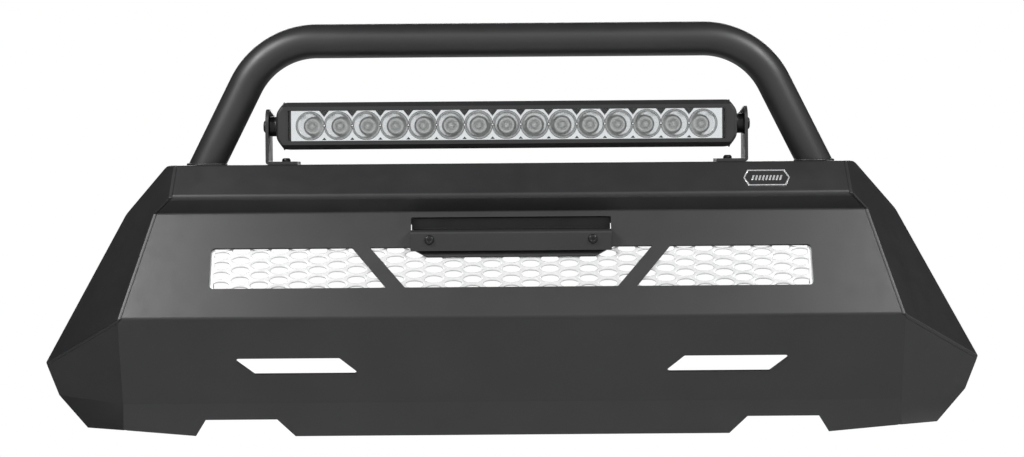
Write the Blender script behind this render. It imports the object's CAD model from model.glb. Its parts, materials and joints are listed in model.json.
import json
import math

import bmesh
import bpy
from mathutils import Matrix, Vector

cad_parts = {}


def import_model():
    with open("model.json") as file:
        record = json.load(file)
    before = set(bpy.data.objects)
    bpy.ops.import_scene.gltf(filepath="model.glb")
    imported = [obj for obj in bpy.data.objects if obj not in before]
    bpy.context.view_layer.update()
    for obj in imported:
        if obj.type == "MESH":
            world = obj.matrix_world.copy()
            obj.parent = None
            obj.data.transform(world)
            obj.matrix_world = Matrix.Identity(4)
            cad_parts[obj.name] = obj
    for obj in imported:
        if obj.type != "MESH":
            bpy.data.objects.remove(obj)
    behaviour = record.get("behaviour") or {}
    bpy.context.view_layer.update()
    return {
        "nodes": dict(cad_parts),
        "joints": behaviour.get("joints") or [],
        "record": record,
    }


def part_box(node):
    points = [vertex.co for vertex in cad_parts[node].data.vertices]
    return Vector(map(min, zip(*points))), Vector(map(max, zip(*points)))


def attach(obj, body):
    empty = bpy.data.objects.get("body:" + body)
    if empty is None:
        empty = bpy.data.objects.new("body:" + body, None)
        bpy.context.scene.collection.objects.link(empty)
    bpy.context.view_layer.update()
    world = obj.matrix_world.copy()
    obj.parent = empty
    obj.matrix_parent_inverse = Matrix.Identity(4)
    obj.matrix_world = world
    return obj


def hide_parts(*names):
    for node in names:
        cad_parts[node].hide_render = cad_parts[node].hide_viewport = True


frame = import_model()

# The looks of a front grille guard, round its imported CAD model. Metres, +Z up, the front faces -Y.

RECORD = frame["record"]
BODY_OF = {node: body for body, nodes in RECORD["behaviour"]["bodies"].items() for node in nodes}
SLOT_OF = {part["node"]: part["material_slot"] for part in RECORD["subparts"]}
PIVOT = Vector(frame["joints"][0]["pos_m"])
X = Vector((1, 0, 0))
Y = Vector((0, 1, 0))
Z = Vector((0, 0, 1))

SHEET = 0.003
MERGE = 1e-6
FULL_TURN = 2 * math.pi

# Fold lines of the fascia's outer face, as (y, z), from the shelf's front edge down.
SHELF_FRONT = Vector((0, -0.111, 0.190))
BAND_FOOT = Vector((0, -0.144, 0.155))
UNDERCUT = Vector((0, -0.130, 0.137))
MAIN_CREASE = Vector((0, -0.190, 0.025))
LOWER_CREASE = Vector((0, -0.140, -0.071))
BOTTOM_EDGE = Vector((0, -0.137, -0.108))

# Where the end plates' folds lie, on the +X side.
FACE_CORNER_X = 0.3923
CREASE_CORNER_X = 0.4237
LOWER_CORNER_X = 0.4264
WING_TIP = Vector((0.5236, -0.074, -0.029))


# ---- reading the frame ----

def islands(node):
    """(low, high) corners of each separate solid of a CAD node."""
    bm = bmesh.new()
    bm.from_mesh(frame["nodes"][node].data)
    bmesh.ops.remove_doubles(bm, verts=bm.verts, dist=MERGE)
    seen = set()
    found = []
    for start in bm.verts:
        if start in seen:
            continue
        seen.add(start)
        queue = [start]
        points = []
        while queue:
            vert = queue.pop()
            points.append(vert.co.copy())
            for edge in vert.link_edges:
                other = edge.other_vert(vert)
                if other not in seen:
                    seen.add(other)
                    queue.append(other)
        low = Vector([min(p[i] for p in points) for i in range(3)])
        high = Vector([max(p[i] for p in points) for i in range(3)])
        found.append((low, high))
    bm.free()
    return found


def centres(node):
    return [(low + high) / 2 for low, high in islands(node)]


# ---- making pieces ----

def smooth(mesh, angle):
    """Smooth shading, with the edges that turn by more than an angle left sharp."""
    for face in mesh.polygons:
        face.use_smooth = True
    mesh.set_sharp_from_angle(angle=math.radians(angle))


def piece(name, bm, body, slot, replaced=(), sharp=40):
    """A finished piece from a bmesh: it rides on a body and may stand for CAD nodes."""
    bmesh.ops.recalc_face_normals(bm, faces=bm.faces)
    mesh = bpy.data.meshes.new(name)
    bm.to_mesh(mesh)
    bm.free()
    smooth(mesh, sharp)
    mesh.materials.append(MATERIALS[slot])
    made = bpy.data.objects.new(name, mesh)
    bpy.context.scene.collection.objects.link(made)
    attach(made, body)
    if replaced:
        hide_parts(*replaced)
    return made


def instead_of(node, name, bm, sharp=40):
    """A piece in place of one CAD node, with that node's body and slot."""
    return piece(name, bm, BODY_OF[node], SLOT_OF[node], [node], sharp)


def eased(made, width, segments=2, angle=28):
    """Rounds a piece's sharp edges, and keeps its flat faces flat."""
    bevel = made.modifiers.new("eased_edges", "BEVEL")
    bevel.width = width
    bevel.segments = segments
    bevel.limit_method = "ANGLE"
    bevel.angle_limit = math.radians(angle)
    bevel.harden_normals = True
    bevel.use_clamp_overlap = True
    weighted = made.modifiers.new("flat_faces", "WEIGHTED_NORMAL")
    weighted.keep_sharp = True
    return made


def eased_node(node, width, segments=2, angle=28):
    """A CAD node's own shape, with its sharp edges rounded."""
    bm = bmesh.new()
    bm.from_mesh(frame["nodes"][node].data)
    bmesh.ops.remove_doubles(bm, verts=bm.verts, dist=MERGE)
    bmesh.ops.dissolve_limit(bm, angle_limit=math.radians(0.4), verts=bm.verts, edges=bm.edges)
    made = instead_of(node, node + "_finished", bm, sharp=179)
    return eased(made, width, segments, angle)


def aim(point, direction):
    """A placement whose local Z points along a direction."""
    return Matrix.Translation(point) @ direction.to_track_quat("Z", "Y").to_matrix().to_4x4()


def join_rings(bm, first, second):
    """Faces between two rings of vertices. A ring of one vertex is a point."""
    count = max(len(first), len(second))
    for i in range(count):
        j = (i + 1) % count
        if len(first) == 1:
            bm.faces.new([first[0], second[i], second[j]])
        elif len(second) == 1:
            bm.faces.new([first[i], second[0], first[j]])
        else:
            bm.faces.new([first[i], second[i], second[j], first[j]])


def hexagon_reach(angle):
    """How far a hexagon of unit corner radius reaches at an angle."""
    sixth = FULL_TURN / 6
    return math.cos(sixth / 2) / math.cos(angle % sixth - sixth / 2)


def turned(bm, place, rows, steps=48, closed=False):
    """A turned shape about local Z. A row is (radius, height) or (radius, height, 1) for a hexagon."""
    rings = []
    for radius, height, *hexagonal in rows:
        if radius == 0:
            rings.append([bm.verts.new(place @ Vector((0, 0, height)))])
            continue
        ring = []
        for i in range(steps):
            angle = FULL_TURN * i / steps
            reach = radius * hexagon_reach(angle) if hexagonal else radius
            at = Vector((reach * math.cos(angle), reach * math.sin(angle), height))
            ring.append(bm.verts.new(place @ at))
        rings.append(ring)
    for first, second in zip(rings, rings[1:]):
        join_rings(bm, first, second)
    if closed:
        join_rings(bm, rings[-1], rings[0])


def thread(bm, place, radius, low, high, pitch):
    """A helical ridge round local Z, on a shank of a radius, between two heights."""
    steps = 24
    turns = (high - low - pitch) / pitch
    count = max(int(turns * steps), 2)
    rows = []
    for i in range(count + 1):
        angle = FULL_TURN * i / steps
        middle = low + pitch / 2 + pitch * i / steps
        taper = min(1, i / steps, (count - i) / steps)
        section = [(-0.46, -0.03), (0, 0.32 * taper), (0.46, -0.03)]
        row = []
        for along, out in section:
            reach = radius + out * pitch
            at = Vector((reach * math.cos(angle), reach * math.sin(angle), middle + along * pitch))
            row.append(bm.verts.new(place @ at))
        rows.append(row)
    for first, second in zip(rows, rows[1:]):
        for i in range(3):
            j = (i + 1) % 3
            bm.faces.new([first[i], first[j], second[j], second[i]])
    bm.faces.new(rows[0])
    bm.faces.new(rows[-1][::-1])


def rod_along(bm, stations, radius_at, across_of, steps, closed):
    """Rings of vertices round a run of points, joined into a rod."""
    count = len(stations)
    rings = []
    for i, point in enumerate(stations):
        before = stations[i - 1] if i or closed else point
        after = stations[(i + 1) % count] if i + 1 < count or closed else point
        tangent = (after - before).normalized()
        across = across_of(point, tangent)
        other = tangent.cross(across).normalized()
        ring = []
        for k in range(steps):
            angle = FULL_TURN * k / steps
            offset = across * math.cos(angle) + other * math.sin(angle)
            ring.append(bm.verts.new(point + offset * radius_at(i)))
        rings.append(ring)
    for first, second in zip(rings, rings[1:]):
        join_rings(bm, first, second)
    if closed:
        join_rings(bm, rings[-1], rings[0])
    else:
        bm.faces.new(rings[0][::-1])
        bm.faces.new(rings[-1])
    return rings


WELD_STEP = 0.0006
WELD_RIPPLE = 0.0026


def bead(bm, corners, radius, closed=False):
    """A run of weld with its ripples, along a polyline."""
    points = []
    runs = list(zip(corners, corners[1:] + corners[:1])) if closed else list(zip(corners, corners[1:]))
    for start, end in runs:
        count = max(1, round((end - start).length / WELD_STEP))
        points += [start.lerp(end, i / count) for i in range(count)]
    if not closed:
        points.append(corners[-1])
    total = len(points)

    def radius_at(i):
        phase = (i * WELD_STEP / WELD_RIPPLE) % 1
        ripple = 1 + 0.16 * math.sqrt(phase) - 0.08
        if closed:
            return radius * ripple
        end = min(i, total - 1 - i) * WELD_STEP / radius
        return radius * ripple * math.sqrt(min(1, 0.15 + end * 0.6))

    def across_of(point, tangent):
        guide = X if abs(tangent.x) < 0.8 else Z
        return tangent.cross(guide).normalized()

    rod_along(bm, points, radius_at, across_of, 10, closed)


# ---- materials ----

def node_tree(name):
    """A new material with a Principled shader: (material, nodes, links, shader)."""
    material = bpy.data.materials.new(name)
    material.use_nodes = True
    nodes = material.node_tree.nodes
    links = material.node_tree.links
    return material, nodes, links, nodes["Principled BSDF"]


def noise(nodes, links, scale, detail=4.0, stretch=None):
    """A noise texture in the piece's own metres. scale is how many features a metre holds."""
    place = nodes.new("ShaderNodeTexCoord")
    texture = nodes.new("ShaderNodeTexNoise")
    texture.inputs["Scale"].default_value = scale
    texture.inputs["Detail"].default_value = detail
    if stretch is None:
        links.new(place.outputs["Object"], texture.inputs["Vector"])
        return texture.outputs["Fac"]
    mapping = nodes.new("ShaderNodeMapping")
    mapping.inputs["Scale"].default_value = stretch
    links.new(place.outputs["Object"], mapping.inputs["Vector"])
    links.new(mapping.outputs["Vector"], texture.inputs["Vector"])
    return texture.outputs["Fac"]


def between(nodes, links, factor, low, high):
    """A number that runs from low to high as a noise does."""
    remap = nodes.new("ShaderNodeMapRange")
    remap.inputs["From Min"].default_value = 0.3
    remap.inputs["From Max"].default_value = 0.7
    remap.inputs["To Min"].default_value = low
    remap.inputs["To Max"].default_value = high
    links.new(factor, remap.inputs["Value"])
    return remap.outputs["Result"]


def mixed_colour(nodes, links, factor, first, second):
    mix = nodes.new("ShaderNodeMix")
    mix.data_type = "RGBA"
    mix.inputs["A"].default_value = (*first, 1)
    mix.inputs["B"].default_value = (*second, 1)
    links.new(factor, mix.inputs["Factor"])
    return mix.outputs["Result"]


def bumped(nodes, links, shader, height, strength, distance):
    bump = nodes.new("ShaderNodeBump")
    bump.inputs["Strength"].default_value = strength
    bump.inputs["Distance"].default_value = distance
    links.new(height, bump.inputs["Height"])
    links.new(bump.outputs["Normal"], shader.inputs["Normal"])


def surface(name, dark, light, rough, metallic, grain, grain_depth, patch=14.0, stretch=None):
    """A finish whose colour and roughness drift in patches, over a fine grain."""
    material, nodes, links, shader = node_tree(name)
    drift = noise(nodes, links, patch, 5.0)
    tint = between(nodes, links, drift, 0.0, 1.0)
    links.new(mixed_colour(nodes, links, tint, dark, light), shader.inputs["Base Color"])
    blotch = noise(nodes, links, patch * 3.7, 3.0)
    links.new(between(nodes, links, blotch, *rough), shader.inputs["Roughness"])
    shader.inputs["Metallic"].default_value = metallic
    bumped(nodes, links, shader, noise(nodes, links, grain, 2.0, stretch), 1.0, grain_depth)
    return material


def clear_lens(name):
    """Clear hard-coated polycarbonate: a mirror at its surface, open behind it."""
    material, nodes, links, shader = node_tree(name)
    nodes.remove(shader)
    open_way = nodes.new("ShaderNodeBsdfTransparent")
    open_way.inputs["Color"].default_value = (0.97, 0.98, 0.985, 1)
    gloss = nodes.new("ShaderNodeBsdfGlossy")
    gloss.inputs["Color"].default_value = (1, 1, 1, 1)
    haze = noise(nodes, links, 60.0, 3.0)
    links.new(between(nodes, links, haze, 0.015, 0.04), gloss.inputs["Roughness"])
    fresnel = nodes.new("ShaderNodeFresnel")
    fresnel.inputs["IOR"].default_value = 1.45
    mix = nodes.new("ShaderNodeMixShader")
    links.new(fresnel.outputs["Fac"], mix.inputs["Fac"])
    links.new(open_way.outputs["BSDF"], mix.inputs[1])
    links.new(gloss.outputs["BSDF"], mix.inputs[2])
    links.new(mix.outputs["Shader"], nodes["Material Output"].inputs["Surface"])
    return material


MATERIALS = {
    "black_powder_coat": surface(
        "black_powder_coat", (0.017, 0.017, 0.018), (0.021, 0.021, 0.022),
        (0.40, 0.46), 0.0, 1500.0, 0.00004,
    ),
    "bright_mesh": surface(
        "bright_mesh", (0.58, 0.585, 0.59), (0.66, 0.66, 0.66),
        (0.30, 0.42), 0.25, 900.0, 0.00003,
    ),
    "zinc_fastener": surface(
        "zinc_fastener", (0.50, 0.50, 0.49), (0.66, 0.67, 0.68),
        (0.28, 0.42), 0.9, 2500.0, 0.00002, 90.0,
    ),
    "black_fastener": surface(
        "black_fastener", (0.012, 0.012, 0.013), (0.024, 0.024, 0.026),
        (0.26, 0.36), 0.35, 2600.0, 0.00002, 80.0,
    ),
    "badge_metal": surface(
        "badge_metal", (0.78, 0.78, 0.79), (0.90, 0.90, 0.91),
        (0.20, 0.30), 0.6, 1800.0, 0.00001, 60.0,
    ),
    "housing_black": surface(
        "housing_black", (0.020, 0.020, 0.021), (0.026, 0.026, 0.027),
        (0.33, 0.40), 0.15, 1100.0, 0.000015, 20.0, (0.03, 1, 1),
    ),
    "rubber_black": surface(
        "rubber_black", (0.012, 0.012, 0.012), (0.020, 0.020, 0.020),
        (0.62, 0.75), 0.0, 1600.0, 0.00003, 50.0,
    ),
    "lens_clear": clear_lens("lens_clear"),
    "reflector_chrome": surface(
        "reflector_chrome", (0.95, 0.95, 0.95), (0.98, 0.98, 0.98),
        (0.05, 0.10), 1.0, 500.0, 0.00001, 70.0,
    ),
    "board_white": surface(
        "board_white", (0.72, 0.73, 0.70), (0.80, 0.80, 0.78),
        (0.35, 0.5), 0.0, 1500.0, 0.00001, 120.0,
    ),
    "led_phosphor": surface(
        "led_phosphor", (0.90, 0.90, 0.86), (0.94, 0.94, 0.91),
        (0.10, 0.2), 0.0, 1200.0, 0.00001, 300.0,
    ),
    "gland_plastic": surface(
        "gland_plastic", (0.016, 0.016, 0.016), (0.026, 0.026, 0.026),
        (0.38, 0.5), 0.0, 1900.0, 0.00002, 80.0,
    ),
}


# ---- folded sheet parts ----

def sheet_parts():
    eased_node("fascia_panel", 0.0006)
    for side in ("left_", "right_"):
        eased_node(side + "wing_plate", 0.0008)
        eased_node(side + "corner_plate", 0.0008)
        eased_node(side + "upright", 0.0005)
        eased_node(side + "frame_bracket", 0.0009)
        eased_node(side + "light_bracket", 0.0006)
    eased_node("license_plate_bracket", 0.0006)
    eased_node("cross_tube", 0.0002)


# ---- hoop and welds ----

HOOP_CORNER_X = 0.2706
HOOP_FOOT_X = 0.3397
HOOP_BEND = 0.0889
HOOP_STEPS = 72
HOOP_WELD = 0.0017


def hoop_layout():
    """The hoop's tube radius, its plane, its foot's height and the height of its top run's centre."""
    low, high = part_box("top_hoop")
    radius = (high.y - low.y) / 2
    return radius, (high.y + low.y) / 2, low.z, high.z - radius


def hoop_axis():
    """The direction of the +X leg, from the shelf up."""
    _, _, foot, top = hoop_layout()
    return Vector((HOOP_CORNER_X - HOOP_FOOT_X, 0, top - foot)).normalized()


def top_hoop():
    """The bent tube: two leaning legs, two arcs and a level run, with both ends level on the shelf."""
    radius, y, foot, top = hoop_layout()
    axis = hoop_axis()
    turn = math.acos(-axis.x)
    reach = HOOP_BEND * math.tan(turn / 2)
    corner = Vector((HOOP_CORNER_X, y, top))
    centre = corner + Vector((-reach, 0, -HOOP_BEND))
    half = [Vector((HOOP_FOOT_X, y, foot))]
    arc_steps = 28
    for i in range(arc_steps + 1):
        angle = turn * (1 - i / arc_steps)
        half.append(centre + Vector((HOOP_BEND * math.sin(angle), 0, HOOP_BEND * math.cos(angle))))
    stations = half + [Vector((-p.x, p.y, p.z)) for p in reversed(half)]
    bm = bmesh.new()
    rings = rod_along(bm, stations, lambda i: radius, lambda point, tangent: Y, HOOP_STEPS, False)
    for ring, direction in ((rings[0], axis), (rings[-1], Vector((-axis.x, 0, axis.z)))):
        for vert in ring:
            vert.co += direction * ((foot - vert.co.z) / direction.z)
    instead_of("top_hoop", "top_hoop_bent", bm, sharp=50)


def hoop_welds():
    """A rippled bead round each foot of the hoop."""
    radius, y, foot, _ = hoop_layout()
    lean = hoop_axis()
    bm = bmesh.new()
    steps = 96
    for side in (-1, 1):
        ring = []
        for i in range(steps):
            angle = FULL_TURN * i / steps
            wide = (radius / lean.z - HOOP_WELD * 0.2) * math.cos(angle)
            deep = (radius - HOOP_WELD * 0.2) * math.sin(angle)
            ring.append(Vector((side * HOOP_FOOT_X + wide, y + deep, foot + HOOP_WELD * 0.5)))
        bead(bm, ring, HOOP_WELD, closed=True)
    instead_of("hoop_welds", "hoop_weld_beads", bm, sharp=60)


def offset_line(points, distance):
    """A chain of fold points moved to the inner side of the sheet."""
    moved = []
    for i, point in enumerate(points):
        normals = []
        for a, b in zip(points[max(i - 1, 0):i + 1], points[max(i - 1, 0) + 1:i + 2]):
            run = (b - a).normalized()
            normals.append(Vector((0, run.z, -run.y)))
        total = sum(normals, Vector())
        share = distance / (1 + normals[0].dot(normals[-1])) if len(normals) > 1 else distance
        moved.append(point - total * share)
    return moved


def stitches(bm, start, end, radius, share=0.5):
    """Two short runs of weld on a line, away from its ends."""
    for middle in (0.28, 0.74):
        reach = share * 0.22
        bead(bm, [start.lerp(end, middle - reach), start.lerp(end, middle + reach)], radius)


def rear_welds():
    """The welds that hold the ribs, the cross tube and the end plates, on their hidden sides."""
    inner = offset_line([SHELF_FRONT, BAND_FOOT, UNDERCUT, MAIN_CREASE, LOWER_CREASE, BOTTOM_EDGE], SHEET)
    rib_low, rib_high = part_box("right_upright")
    bm = bmesh.new()
    for side in (-1, 1):
        for x in (rib_low.x - 0.0006, rib_high.x + 0.0006):
            for start, end in zip(inner, inner[1:-1]):
                shift = X * (side * x)
                stitches(bm, start + shift, end + shift, 0.0024)
    piece("rib_welds", bm, "guard", "black_powder_coat", sharp=60)

    tube_low, tube_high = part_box("cross_tube")
    middle = (tube_low + tube_high) / 2
    radius = (tube_high.z - tube_low.z) / 2 + 0.0004
    bm = bmesh.new()
    for side in (-1, 1):
        x = side * (tube_high.x - 0.0008)
        ring = []
        for i in range(72):
            angle = FULL_TURN * i / 72
            y = middle.y + radius * math.cos(angle)
            ring.append(Vector((x, y, middle.z + radius * math.sin(angle))))
        bead(bm, ring, 0.0026, closed=True)
    piece("tube_welds", bm, "guard", "black_powder_coat", sharp=60)

    bm = bmesh.new()
    depth = SHEET * 1.25
    seam = [
        Vector((FACE_CORNER_X - depth * 1.25, UNDERCUT.y + depth, UNDERCUT.z - depth * 0.7)),
        Vector((CREASE_CORNER_X - depth * 1.25, MAIN_CREASE.y + depth * 1.25, MAIN_CREASE.z)),
        Vector((LOWER_CORNER_X - depth * 1.25, LOWER_CREASE.y + depth * 1.1, LOWER_CREASE.z)),
    ]
    for side in (-1, 1):
        line = [Vector((side * p.x, p.y, p.z)) for p in seam]
        for start, end in zip(line, line[1:]):
            stitches(bm, start, end, 0.0024, 1.0)
        tip = Vector((side * (WING_TIP.x - 0.010), WING_TIP.y + 0.001, WING_TIP.z + 0.004))
        stitches(bm, line[1], tip, 0.0022)
    piece("end_plate_welds", bm, "guard", "black_powder_coat", sharp=60)


# ---- mesh insert ----

FACE_DOWN = (MAIN_CREASE - UNDERCUT).normalized()
FACE_OUT = Vector((0, FACE_DOWN.z, -FACE_DOWN.y))
MESH_COLUMN = 0.021
MESH_ROW = 0.012
MESH_STRAND = 0.0034
MESH_STOCK = 0.0015
MESH_TILT = 0.0005
MESH_COLUMNS = 15
MESH_ROWS = 2
MESH_FIELD = (0.323, 0.0265)


def mesh_layout():
    """The insert's centre, half its length and half its height along the slope."""
    low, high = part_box("mesh_insert")
    rise = (high.z - low.z - MESH_STOCK * abs(FACE_OUT.z)) / abs(FACE_DOWN.z)
    return (low + high) / 2, (high.x - low.x) / 2, rise / 2


def mesh_at(centre, u, v, out):
    return centre + X * u + FACE_DOWN * v + FACE_OUT * out


def inset_outline(points, distance):
    """A convex outline, anticlockwise, drawn in by a distance on every side."""
    count = len(points)
    runs = [(points[(i + 1) % count] - points[i]).normalized() for i in range(count)]
    inward = [Vector((-run.y, run.x)) for run in runs]
    moved = []
    for i, point in enumerate(points):
        first, second = inward[i - 1], inward[i]
        moved.append(point + (first + second) * (distance / (1 + first.dot(second))))
    return moved


def mesh_strands(centre):
    """Flat strands round long cells that share corners, each hole's two lips a little off the plane."""
    bm = bmesh.new()
    corners = {}

    def corner(at):
        key = (round(at.x * 1e5), round(at.y * 1e5))
        if key not in corners:
            corners[key] = bm.verts.new(mesh_at(centre, at.x, at.y, 0))
        return corners[key]

    flat, tip, half = MESH_COLUMN / 3, MESH_COLUMN * 2 / 3, MESH_ROW / 2
    for column in range(-MESH_COLUMNS, MESH_COLUMNS + 1):
        lift = half if column % 2 else 0.0
        for row in range(-MESH_ROWS, MESH_ROWS + 1):
            u, v = column * MESH_COLUMN, row * MESH_ROW + lift
            outline = [Vector(at) for at in ((u - tip, v), (u - flat, v - half), (u + flat, v - half),
                                             (u + tip, v), (u + flat, v + half), (u - flat, v + half))]
            outer = [corner(at) for at in outline]
            inner = []
            for at in inset_outline(outline, MESH_STRAND / 2):
                tilt = MESH_TILT * (1 if at.y > v + MERGE else -1 if at.y < v - MERGE else 0)
                inner.append(bm.verts.new(mesh_at(centre, at.x, at.y, tilt)))
            join_rings(bm, outer, inner)
    return bm


def mesh_insert():
    """Rounded, slightly twisted strands, and a plain border behind the fascia."""
    centre, half_length, half_height = mesh_layout()
    strands = instead_of("mesh_insert", "mesh_insert_strands", mesh_strands(centre), sharp=180)
    stock = strands.modifiers.new("stock", "SOLIDIFY")
    stock.thickness = MESH_STOCK
    stock.offset = 0
    rounding = strands.modifiers.new("rounding", "SUBSURF")
    rounding.levels = 2
    rounding.render_levels = 2

    bm = bmesh.new()
    outer = [(-half_length, -half_height), (half_length, -half_height),
             (half_length, half_height), (-half_length, half_height)]
    inner = [(math.copysign(MESH_FIELD[0], u), math.copysign(MESH_FIELD[1], v)) for u, v in outer]
    layers = []
    for out in (-MESH_STOCK / 2, MESH_STOCK / 2):
        loops = (outer, inner)
        layers.append([[bm.verts.new(mesh_at(centre, u, v, out)) for u, v in loop] for loop in loops])
    (under_outer, under_inner), (top_outer, top_inner) = layers
    for first, second in ((under_outer, under_inner), (under_inner, top_inner),
                          (top_inner, top_outer), (top_outer, under_outer)):
        join_rings(bm, first, second)
    rim = piece("mesh_insert_border", bm, "guard", "bright_mesh", sharp=179)
    eased(rim, 0.0003)


def mesh_fasteners():
    """Threaded studs and flange nuts behind the fascia."""
    inward = -FACE_OUT
    studs = bmesh.new()
    for centre in centres("mesh_studs"):
        place = aim(centre, inward)
        rows = [(0, -0.0055), (0.0025, -0.0055), (0.0025, 0.0050), (0.0020, 0.0055), (0, 0.0055)]
        turned(studs, place, rows, 24)
        thread(studs, place, 0.0025, 0.0012, 0.0054, 0.0008)
    instead_of("mesh_studs", "mesh_studs_threaded", studs)
    nuts = bmesh.new()
    for centre in centres("mesh_nuts"):
        rows = [
            (0.0026, -0.0025), (0.0057, -0.0025), (0.0058, -0.0022), (0.0053, -0.0015),
            (0.0047, -0.0012, 1),
            (0.0047, 0.0020, 1), (0.0041, 0.0025), (0.0030, 0.0025), (0.0026, 0.0021),
        ]
        turned(nuts, aim(centre, inward), rows, 36, closed=True)
    instead_of("mesh_nuts", "mesh_nuts_flanged", nuts, sharp=25)


# ---- fasteners ----

def button_screw(bm, place, head, rise, shank, length, pitch):
    """A domed socket screw. Local Z points out of its head, from the seat."""
    key = shank * 0.72
    rows = [(0, rise * 0.35), (key, rise * 0.35, 1), (key, rise * 0.93, 1), (key * 1.12, rise)]
    crown = key * 1.25
    dome_steps = 7
    for i in range(dome_steps + 1):
        angle = math.pi / 2 * i / dome_steps
        rows.append((crown + (head - crown) * math.sin(angle), rise * (0.22 + 0.78 * math.cos(angle))))
    rows += [(head * 0.97, 0), (shank, 0)]
    rows += [(shank, -length + shank * 0.2), (shank * 0.8, -length), (0, -length)]
    turned(bm, place, rows)
    thread(bm, place, shank * 0.985, -length + shank * 0.15, -length * 0.3, pitch)


def hex_screw(bm, place, head, rise, shank, length, pitch):
    """A hexagon bolt. Local Z points out of its head, from the seat."""
    corner = head * 2 / math.sqrt(3)
    rows = [
        (0, rise), (head * 0.90, rise), (head * 0.98, rise * 0.96),
        (corner, rise * 0.84, 1), (corner, rise * 0.10, 1),
        (head * 0.96, rise * 0.08), (head * 0.95, 0), (shank, 0), (shank, -length + shank * 0.2),
        (shank * 0.8, -length), (0, -length),
    ]
    turned(bm, place, rows)
    thread(bm, place, shank * 0.985, -length + shank * 0.1, -length * 0.45, pitch)


def hex_nut(bm, place, across, bore, height):
    corner = across / math.sqrt(3)
    half = height / 2
    rows = [
        (bore, -half + 0.0004), (bore * 1.1, -half), (across * 0.47, -half), (corner, -half * 0.8, 1),
        (corner, half * 0.8, 1), (across * 0.47, half), (bore * 1.1, half), (bore, half - 0.0004),
    ]
    turned(bm, place, rows, closed=True)


def plain_washer(bm, place, outer, bore, height):
    half = height / 2
    soft = half * 0.35
    rows = [
        (bore, -half + soft), (bore + soft, -half), (outer - soft * 1.5, -half), (outer, -half + soft),
        (outer, half - soft), (outer - soft * 1.5, half), (bore + soft, half), (bore, half - soft),
    ]
    turned(bm, place, rows, closed=True)


def outward(centre):
    """X, pointing away from the middle of the part."""
    return X if centre.x > 0 else -X


def bracket_fasteners():
    head_rise, shank = 0.0064, 0.005
    bolts, washers, nuts = bmesh.new(), bmesh.new(), bmesh.new()
    for low, high in islands("bracket_bolts"):
        centre = (low + high) / 2
        direction = outward(centre)
        span = high.x - low.x
        seat = centre + direction * (span / 2 - head_rise)
        hex_screw(bolts, aim(seat, direction), 0.008, head_rise, shank, span - head_rise, 0.0015)
    for low, high in islands("bracket_washers"):
        centre = (low + high) / 2
        plain_washer(washers, aim(centre, outward(centre)), 0.010, 0.00525, high.x - low.x)
    for low, high in islands("bracket_nuts"):
        centre = (low + high) / 2
        hex_nut(nuts, aim(centre, outward(centre)), 0.0165, shank, high.x - low.x)
    instead_of("bracket_bolts", "bracket_bolts_threaded", bolts, sharp=28)
    instead_of("bracket_washers", "bracket_washers_eased", washers, sharp=28)
    instead_of("bracket_nuts", "bracket_nuts_chamfered", nuts, sharp=28)


def license_fasteners():
    rise, shank = 0.0033, 0.003
    bolts, nuts = bmesh.new(), bmesh.new()
    for low, high in islands("license_bolts"):
        centre = (low + high) / 2
        seat = Vector((centre.x, low.y + rise, centre.z))
        button_screw(bolts, aim(seat, -Y), 0.00525, rise, shank, high.y - seat.y, 0.001)
    for low, high in islands("license_nuts"):
        hex_nut(nuts, aim((low + high) / 2, -Y), 0.0099, shank, high.y - low.y)
    instead_of("license_bolts", "license_bolts_domed", bolts, sharp=28)
    instead_of("license_nuts", "license_nuts_chamfered", nuts, sharp=28)


def light_foot_fasteners():
    rise, shank = 0.0039, 0.003
    bolts, washers, nuts = bmesh.new(), bmesh.new(), bmesh.new()
    for low, high in islands("light_foot_bolts"):
        centre = (low + high) / 2
        seat = Vector((centre.x, centre.y, high.z - rise))
        button_screw(bolts, aim(seat, Z), 0.0049, rise, shank, seat.z - low.z, 0.001)
    for low, high in islands("light_foot_washers"):
        plain_washer(washers, aim((low + high) / 2, Z), 0.006, 0.00325, high.z - low.z)
    for low, high in islands("light_foot_nuts"):
        hex_nut(nuts, aim((low + high) / 2, Z), 0.0099, shank, high.z - low.z)
    instead_of("light_foot_bolts", "light_foot_bolts_domed", bolts, sharp=28)
    instead_of("light_foot_washers", "light_foot_washers_eased", washers, sharp=28)
    instead_of("light_foot_nuts", "light_foot_nuts_chamfered", nuts, sharp=28)


def pivot_fasteners():
    rise, shank = 0.0032, 0.004
    bolts, washers = bmesh.new(), bmesh.new()
    for low, high in islands("pivot_bolts"):
        centre = (low + high) / 2
        direction = outward(centre)
        span = high.x - low.x
        seat = centre + direction * (span / 2 - rise)
        button_screw(bolts, aim(seat, direction), 0.007, rise, shank, span - rise, 0.00125)
    for low, high in islands("pivot_washers"):
        centre = (low + high) / 2
        plain_washer(washers, aim(centre, outward(centre)), 0.008, 0.00405, high.x - low.x)
    instead_of("pivot_bolts", "pivot_bolts_domed", bolts, sharp=28)
    instead_of("pivot_washers", "pivot_washers_eased", washers, sharp=28)


def end_cap_screws():
    rise = 0.0018
    bm = bmesh.new()
    for low, high in islands("end_cap_screws"):
        centre = (low + high) / 2
        direction = outward(centre)
        span = high.x - low.x
        seat = centre + direction * (span / 2 - rise)
        button_screw(bm, aim(seat, direction), 0.0028, rise, 0.0015, span - rise, 0.0005)
    instead_of("end_cap_screws", "end_cap_screws_domed", bm, sharp=28)


# ---- badge ----

BAND_DOWN = (BAND_FOOT - SHELF_FRONT).normalized()
BAND_OUT = Vector((0, BAND_DOWN.z, -BAND_DOWN.y))
BADGE_HALF = 0.0255
BADGE_RISE = 0.0115
BADGE_POINT = 0.0049
BADGE_RIM = 0.0012
BADGE_BARS = 9
BADGE_DEPTH = 0.0016


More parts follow.
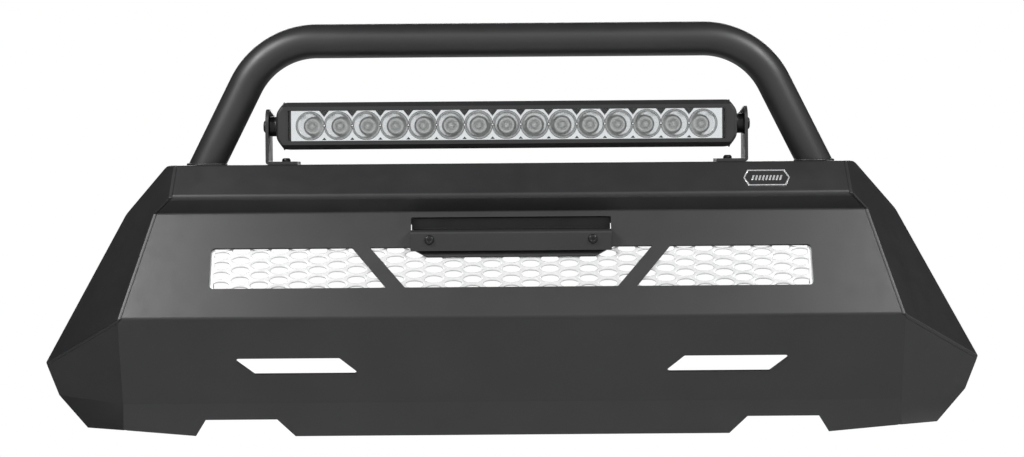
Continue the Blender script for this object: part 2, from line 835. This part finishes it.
def badge_loop(inset):
    """The badge's hexagon in its own plane, drawn in from its edge."""
    half = BADGE_HALF - inset * 1.15
    rise = BADGE_RISE - inset
    shoulder = half - BADGE_POINT
    upper = [(-half, 0), (-shoulder, rise), (shoulder, rise)]
    return upper + [(-u, -v) for u, v in upper]


def badge():
    """A raised bright rim with a plain row of slanted bars, on a black ground."""
    low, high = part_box("badge_plate")
    middle = (low + high) / 2 - BAND_OUT * (BADGE_DEPTH / 2)

    def at(u, v, out):
        return middle + X * u - BAND_DOWN * v + BAND_OUT * out

    rim = bmesh.new()
    layers = []
    for inset, out in ((0, 0), (0, BADGE_DEPTH), (BADGE_RIM, BADGE_DEPTH), (BADGE_RIM, 0)):
        layers.append([rim.verts.new(at(u, v, out)) for u, v in badge_loop(inset)])
    for first, second in zip(layers, layers[1:] + layers[:1]):
        join_rings(rim, first, second)
    for i in range(BADGE_BARS):
        left = (i - BADGE_BARS / 2) * 0.0038
        rows = []
        for out in (0.0006, 0.0012):
            outline = [(left, -0.0036), (left + 0.0021, -0.0036)]
            outline += [(left + 0.0042, 0.0036), (left + 0.0021, 0.0036)]
            rows.append([rim.verts.new(at(u, v, out)) for u, v in outline])
        join_rings(rim, rows[0], rows[1])
        rim.faces.new(rows[0][::-1])
        rim.faces.new(rows[1])
    shown = instead_of("badge_plate", "badge_rim", rim, sharp=179)
    eased(shown, 0.0002)

    ground = bmesh.new()
    loop = badge_loop(BADGE_RIM * 0.9)
    layers = [[ground.verts.new(at(u, v, out)) for u, v in loop] for out in (0.0001, 0.0008)]
    join_rings(ground, *layers)
    ground.faces.new(layers[0][::-1])
    ground.faces.new(layers[1])
    eased(piece("badge_ground", ground, "guard", "black_powder_coat", sharp=179), 0.0001)


# ---- light bar ----

CAP_FLAT = 0.004
CAP_ROUND_X = 0.008
CAP_ROUND_Z = 0.012
CAP_BOSS = 0.011
BAR_CHAMFER = 0.005
WINDOW_HALF = 0.0167
REFLECTOR_RADIUS = 0.0149
REFLECTOR_THROAT = 0.0042
REFLECTOR_REAR = 0.004
BOWL_CURVE = 0.82
REFLECTOR_WALL = 0.0006
REFLECTOR_GROOVE = 0.0011
UPPER_NOTCH = (0.0063, 0.0080)
LOWER_NOTCH = (0.0042, 0.0047)


def end_cap(side, node):
    """A cast block with large rounded corners, a boss for the pivot and countersunk screws."""
    low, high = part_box(node)
    bar_low, bar_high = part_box("light_housing")
    middle_x = (bar_low.x + bar_high.x) / 2
    inner = abs((low.x if side > 0 else high.x) - middle_x)
    boss_end = abs((high.x if side > 0 else low.x) - middle_x)
    outer = inner + CAP_FLAT + CAP_ROUND_X
    front, rear = low.y, bar_high.y
    half = bar_high.z - PIVOT.z
    slope = CAP_ROUND_Z / CAP_ROUND_X
    points = []
    for y, inward in ((front, 1), (rear, -1)):
        chamfered = half - BAR_CHAMFER
        for sign in (-1, 1):
            points.append((inner, y, sign * chamfered))
            points.append((inner, y + inward * BAR_CHAMFER, sign * half))
            points.append((outer - CAP_ROUND_X + BAR_CHAMFER / slope, y, sign * chamfered))
            points.append((outer - CAP_ROUND_X, y + inward * BAR_CHAMFER, sign * half))
            points.append((outer, y, sign * (half - CAP_ROUND_Z)))
    bm = bmesh.new()
    for x, y, z in points:
        bm.verts.new((middle_x + side * x, y, PIVOT.z + z))
    bmesh.ops.convex_hull(bm, input=bm.verts)
    bmesh.ops.dissolve_limit(bm, angle_limit=math.radians(1), verts=bm.verts, edges=bm.edges)
    inner_x = middle_x + side * inner
    rounded = [e for e in bm.edges if all(abs(v.co.x - inner_x) > MERGE for v in e.verts)]
    bmesh.ops.bevel(
        bm, geom=rounded, offset=0.0035, segments=6, profile=0.5, affect="EDGES", clamp_overlap=True)
    made = instead_of(node, node + "_cast", bm, sharp=30)

    cutters = bmesh.new()
    for at in centres("end_cap_screws"):
        if (at.x - middle_x) * side > 0:
            seat = Vector((inner_x + side * 0.004, at.y, at.z))
            turned(cutters, aim(seat, X * side), [(0, 0), (0.00305, 0), (0.00305, 0.03), (0, 0.03)], 32)
    mesh = bpy.data.meshes.new(node + "_holes")
    bmesh.ops.recalc_face_normals(cutters, faces=cutters.faces)
    cutters.to_mesh(mesh)
    cutters.free()
    holes = bpy.data.objects.new(node + "_holes", mesh)
    bpy.context.scene.collection.objects.link(holes)
    cut = made.modifiers.new("screw_holes", "BOOLEAN")
    cut.object = holes
    cut.solver = "EXACT"
    bpy.context.view_layer.update()
    evaluated = made.evaluated_get(bpy.context.evaluated_depsgraph_get())
    finished = bpy.data.meshes.new_from_object(evaluated)
    made.modifiers.clear()
    made.data = finished
    bpy.data.objects.remove(holes)

    bm = bmesh.new()
    bm.from_mesh(finished)
    lip = bmesh.ops.create_cube(bm, size=1)["verts"]
    bmesh.ops.scale(bm, vec=(0.0015, 0.0016, 2 * WINDOW_HALF), verts=lip)
    bmesh.ops.translate(bm, vec=(inner_x - side * 0.0005, front + 0.0012, PIVOT.z), verts=lip)
    axis = Vector((middle_x, PIVOT.y, PIVOT.z))
    rows = [(0, outer - 0.003), (CAP_BOSS + 0.0012, outer - 0.003), (CAP_BOSS + 0.0012, outer - 0.0004),
            (CAP_BOSS + 0.0003, outer + 0.0006), (CAP_BOSS, outer + 0.002), (CAP_BOSS, boss_end - 0.0004),
            (CAP_BOSS - 0.0004, boss_end), (0.0045, boss_end), (0.00405, boss_end - 0.0004),
            (0.00405, outer - 0.002), (0, outer - 0.002)]
    boss = bmesh.new()
    turned(boss, aim(axis, X * side), rows)
    bmesh.ops.recalc_face_normals(boss, faces=boss.faces)
    scratch = bpy.data.meshes.new("boss")
    boss.to_mesh(scratch)
    boss.free()
    bm.from_mesh(scratch)
    bm.to_mesh(finished)
    bm.free()
    bpy.data.meshes.remove(scratch)
    smooth(finished, 30)


def web(bm, outline, front, back):
    """A flat piece of the reflector strip's flange, from an outline in X and Z."""
    rows = [[bm.verts.new((x, y, PIVOT.z + z)) for x, z in outline] for y in (front, back)]
    join_rings(bm, rows[0], rows[1])
    bm.faces.new(rows[0])
    bm.faces.new(rows[1][::-1])


def reflectors():
    """Chromed bowls on one flange, which is notched above and below between each two of them."""
    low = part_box("reflector_strip")[0]
    front, back = low.y, low.y + 0.0015
    rear = PIVOT.y + REFLECTOR_REAR
    radius, throat, wall = REFLECTOR_RADIUS, REFLECTOR_THROAT, REFLECTOR_WALL
    xs = sorted(centre.x for centre in centres("led_emitters"))
    half_pitch = (xs[1] - xs[0]) / 2
    steps = 16
    bm = bmesh.new()
    curve = []
    for i in range(steps + 1):
        r = radius + (throat - radius) * i / steps
        share = ((radius - r) / (radius - throat)) ** BOWL_CURVE
        curve.append((r, back + (rear - back) * share - PIVOT.y))
    lip = front - PIVOT.y
    for x in xs:
        rows = [(radius + wall, back - PIVOT.y), (radius + wall, lip), (radius + wall * 0.6, lip - 0.0004)]
        rows += [(radius + wall * 0.2, lip - 0.0004), (radius, lip)]
        rows += curve + [(r + wall, y) for r, y in reversed(curve[1:])]
        turned(bm, aim(Vector((x, PIVOT.y, PIVOT.z)), Y), rows, 64, closed=True)

    ring = radius + REFLECTOR_GROOVE
    reach = WINDOW_HALF + 0.001
    meeting = math.acos(half_pitch / ring)
    arc = [math.pi / 2 + (meeting - math.pi / 2) * i / 12 for i in range(13)]
    quarter = [(ring * math.cos(a), ring * math.sin(a)) for a in arc]
    for left, right in zip(xs, xs[1:]):
        middle = (left + right) / 2
        for sign, (wide, tall) in ((-1, LOWER_NOTCH), (1, UPPER_NOTCH)):
            top = sign * reach
            outline = [(left, top)] + [(left + u, sign * w) for u, w in quarter]
            outline += [(right - u, sign * w) for u, w in reversed(quarter[:-1])]
            outline += [(right, top), (middle + wide, top)]
            outline += [(middle, top - sign * tall), (middle - wide, top)]
            web(bm, outline, front + 0.0002, back)
        pin = aim(Vector((middle, front, PIVOT.z)), -Y)
        pin_rows = [(0, 0.0012), (0.0011, 0.0011), (0.0017, 0.0006), (0.0018, -0.0004), (0, -0.0004)]
        turned(bm, pin, pin_rows, 24)
    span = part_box("light_lens")[1].x - PIVOT.x
    half_turn = [math.pi / 2 - math.pi * i / 24 for i in range(25)]
    for sign, x in ((-1, xs[0]), (1, xs[-1])):
        edge = PIVOT.x + sign * span
        outline = [(x, -reach), (edge, -reach), (edge, reach), (x, reach)]
        outline += [(x + sign * ring * math.cos(a), ring * math.sin(a)) for a in half_turn]
        web(bm, outline, front + 0.0002, back)
    sill = [(PIVOT.x - span, -reach), (PIVOT.x + span, -reach),
            (PIVOT.x + span, -WINDOW_HALF + 0.0009), (PIVOT.x - span, -WINDOW_HALF + 0.0009)]
    web(bm, sill, front + 0.0001, back)
    instead_of("reflector_strip", "reflector_bowls", bm, sharp=40)


def led_parts():
    """Square packages with phosphor domes, on the white board."""
    eased_node("led_board", 0.0003)
    packages, domes = bmesh.new(), bmesh.new()
    for low, high in islands("led_emitters"):
        middle = (low + high) / 2
        seat = Vector((middle.x, high.y, middle.z))
        block = bmesh.ops.create_cube(packages, size=1)["verts"]
        bmesh.ops.scale(packages, vec=(0.005, 0.0006, 0.005), verts=block)
        bmesh.ops.translate(packages, vec=seat - Y * 0.0003, verts=block)
        rows = [(0.0024, 0.0004), (0.0024, 0.0008), (0.0020, 0.00085)]
        quarter = [math.pi / 2 * i / 8 for i in range(8)]
        rows += [(0.0019 * math.cos(a), 0.0008 + 0.0017 * math.sin(a)) for a in quarter]
        turned(domes, aim(seat, -Y), rows + [(0, 0.0025)], 32)
    eased(piece("led_packages", packages, "light_bar", "board_white", sharp=179), 0.0001)
    instead_of("led_emitters", "led_domes", domes)


def cable_gland():
    """The gland's hexagon, its ribbed clamping nut and the soft bush in its mouth."""
    low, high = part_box("cable_gland")
    axis = Vector(((low.x + high.x) / 2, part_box("light_housing")[1].y, PIVOT.z))
    place = aim(axis, Y)
    flats = 0.010
    corner = flats / math.sqrt(3)
    bm = bmesh.new()
    rows = [(0.0018, -0.008), (0.003, -0.008), (0.003, 0), (flats * 0.48, 0),
            (corner, 0.0004, 1), (corner, 0.0026, 1), (flats * 0.47, 0.003),
            (flats * 0.36, 0.003), (flats * 0.36, 0.006), (0.0018, 0.006)]
    turned(bm, place, rows, closed=True)
    instead_of("cable_gland", "cable_gland_body", bm, sharp=28)

    bm = bmesh.new()
    steps = 72
    rings = []
    nut_rows = [(0.0037, 0.0031), (0.0046, 0.0031), (0.0049, 0.0036), (0.0048, 0.0066), (0.0042, 0.0082),
                (0.0036, 0.0093), (0.0030, 0.0095), (0.0022, 0.0094), (0.0019, 0.0088), (0.0018, 0.0062),
                (0.0037, 0.0061)]
    for radius, height in nut_rows:
        ring = []
        for i in range(steps):
            angle = FULL_TURN * i / steps
            rib = 0.00016 * (1 if (i // 2) % 3 else -1) if radius > 0.0045 else 0
            reach = radius + rib
            at = Vector((reach * math.cos(angle), reach * math.sin(angle), height))
            ring.append(bm.verts.new(place @ at))
        rings.append(ring)
    for first, second in zip(rings, rings[1:] + rings[:1]):
        join_rings(bm, first, second)
    instead_of("gland_cap", "gland_cap_ribbed", bm, sharp=28)


def breather():
    """The vent plug: a hexagon with a recessed membrane seat."""
    low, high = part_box("breather_plug")
    axis = Vector(((low.x + high.x) / 2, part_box("light_housing")[1].y, PIVOT.z))
    flats = 0.009
    corner = flats / math.sqrt(3)
    bm = bmesh.new()
    rows = [(0, 0.0016), (0.0018, 0.0016), (0.0020, 0.0019), (0.0020, 0.0024), (0.0022, 0.0025),
            (flats * 0.46, 0.0025), (corner, 0.0021, 1), (corner, 0.0003, 1), (flats * 0.47, 0), (0.003, 0),
            (0.003, -0.0078), (0.0027, -0.008), (0, -0.008)]
    turned(bm, aim(axis, Y), rows)
    instead_of("breather_plug", "breather_plug_vented", bm, sharp=28)


def light_bar():
    eased_node("light_housing", 0.0004)
    end_cap(1, "right_end_cap")
    end_cap(-1, "left_end_cap")
    eased_node("end_cap_gaskets", 0.0001)
    eased_node("light_lens", 0.0003)
    eased_node("lens_seal", 0.0001)
    reflectors()
    led_parts()
    cable_gland()
    breather()
    end_cap_screws()
    pivot_fasteners()


# ---- studio ----

CAMERA_AT = Vector((0.0011, -2.790, 0.190))
CAMERA_PITCH = -1.548
CAMERA_ROLL = -0.43
CAMERA_LENS = 85.2
FLOOR_Z = -0.75
FLOOR_RADIUS = 3.4
WORLD_LIGHT = 0.03


def camera():
    data = bpy.data.cameras.new("camera")
    data.lens = CAMERA_LENS
    data.sensor_width = 36
    data.clip_start = 0.05
    data.clip_end = 60
    made = bpy.data.objects.new("camera", data)
    tilt = Matrix.Rotation(math.radians(90 + CAMERA_PITCH), 4, "X")
    roll = Matrix.Rotation(math.radians(CAMERA_ROLL), 4, "Z")
    made.matrix_world = Matrix.Translation(CAMERA_AT) @ tilt @ roll
    bpy.context.scene.collection.objects.link(made)
    bpy.context.scene.camera = made


def softbox(name, at, towards, width, height, power):
    data = bpy.data.lights.new(name, "AREA")
    data.shape = "RECTANGLE"
    data.size = width
    data.size_y = height
    data.energy = power
    made = bpy.data.objects.new(name, data)
    made.location = at
    made.rotation_mode = "QUATERNION"
    made.rotation_quaternion = (Vector(towards) - Vector(at)).to_track_quat("-Z", "Y")
    made.visible_camera = False
    bpy.context.scene.collection.objects.link(made)


def world():
    """White behind the object, and a soft grey light from all round."""
    made = bpy.data.worlds.new("studio")
    bpy.context.scene.world = made
    made.use_nodes = True
    nodes = made.node_tree.nodes
    links = made.node_tree.links
    nodes.clear()
    seen = nodes.new("ShaderNodeBackground")
    seen.inputs["Strength"].default_value = 1.0
    seen.inputs["Color"].default_value = (1, 1, 1, 1)
    lighting = nodes.new("ShaderNodeBackground")
    lighting.inputs["Strength"].default_value = WORLD_LIGHT
    lighting.inputs["Color"].default_value = (1, 1, 1, 1)
    path = nodes.new("ShaderNodeLightPath")
    mix = nodes.new("ShaderNodeMixShader")
    output = nodes.new("ShaderNodeOutputWorld")
    links.new(path.outputs["Is Camera Ray"], mix.inputs["Fac"])
    links.new(lighting.outputs["Background"], mix.inputs[1])
    links.new(seen.outputs["Background"], mix.inputs[2])
    links.new(mix.outputs["Shader"], output.inputs["Surface"])


def floor():
    """A plain pale disc well under the part, fading out at its edge."""
    bm = bmesh.new()
    bmesh.ops.create_circle(bm, cap_ends=True, radius=FLOOR_RADIUS, segments=96)
    mesh = bpy.data.meshes.new("floor")
    bm.to_mesh(mesh)
    bm.free()
    material, nodes, links, shader = node_tree("floor_pale")
    shader.inputs["Base Color"].default_value = (0.86, 0.86, 0.86, 1)
    shader.inputs["Roughness"].default_value = 0.8
    place = nodes.new("ShaderNodeTexCoord")
    length = nodes.new("ShaderNodeVectorMath")
    length.operation = "LENGTH"
    links.new(place.outputs["Object"], length.inputs[0])
    fade = nodes.new("ShaderNodeMapRange")
    fade.interpolation_type = "SMOOTHSTEP"
    fade.inputs["From Min"].default_value = FLOOR_RADIUS * 0.35
    fade.inputs["From Max"].default_value = FLOOR_RADIUS * 0.98
    fade.inputs["To Min"].default_value = 1.0
    fade.inputs["To Max"].default_value = 0.0
    links.new(length.outputs["Value"], fade.inputs["Value"])
    links.new(fade.outputs["Result"], shader.inputs["Alpha"])
    mesh.materials.append(material)
    made = bpy.data.objects.new("floor", mesh)
    made.location = (0, 0, FLOOR_Z)
    bpy.context.scene.collection.objects.link(made)


def lights():
    """A white wall ahead, two small keys over the ends, soft light above, at the right and behind."""
    softbox("front_wall", (0, -3.3, 0.4), (0, 0, 0.15), 6.4, 3.6, 58)
    softbox("left_key", (-0.85, -0.80, 0.95), (-0.38, -0.15, 0.08), 0.4, 0.4, 14.5)
    softbox("right_key", (0.85, -0.80, 0.95), (0.38, -0.15, 0.08), 0.4, 0.4, 11)
    softbox("high_front", (0, -2.2, 1.9), (0, -0.12, 0.08), 0.9, 0.7, 6)
    softbox("right_side", (2.5, -0.1, 0.2), (0.4, 0, 0.1), 1.0, 1.0, 12)
    softbox("rear_fill", (0, 2.4, 0.9), (0, 0, 0.1), 2.4, 1.2, 42)


sheet_parts()
top_hoop()
hoop_welds()
rear_welds()
mesh_insert()
mesh_fasteners()
bracket_fasteners()
license_fasteners()
light_foot_fasteners()
badge()
light_bar()
camera()
lights()
world()
floor()

bpy.context.scene.view_settings.view_transform = "Standard"
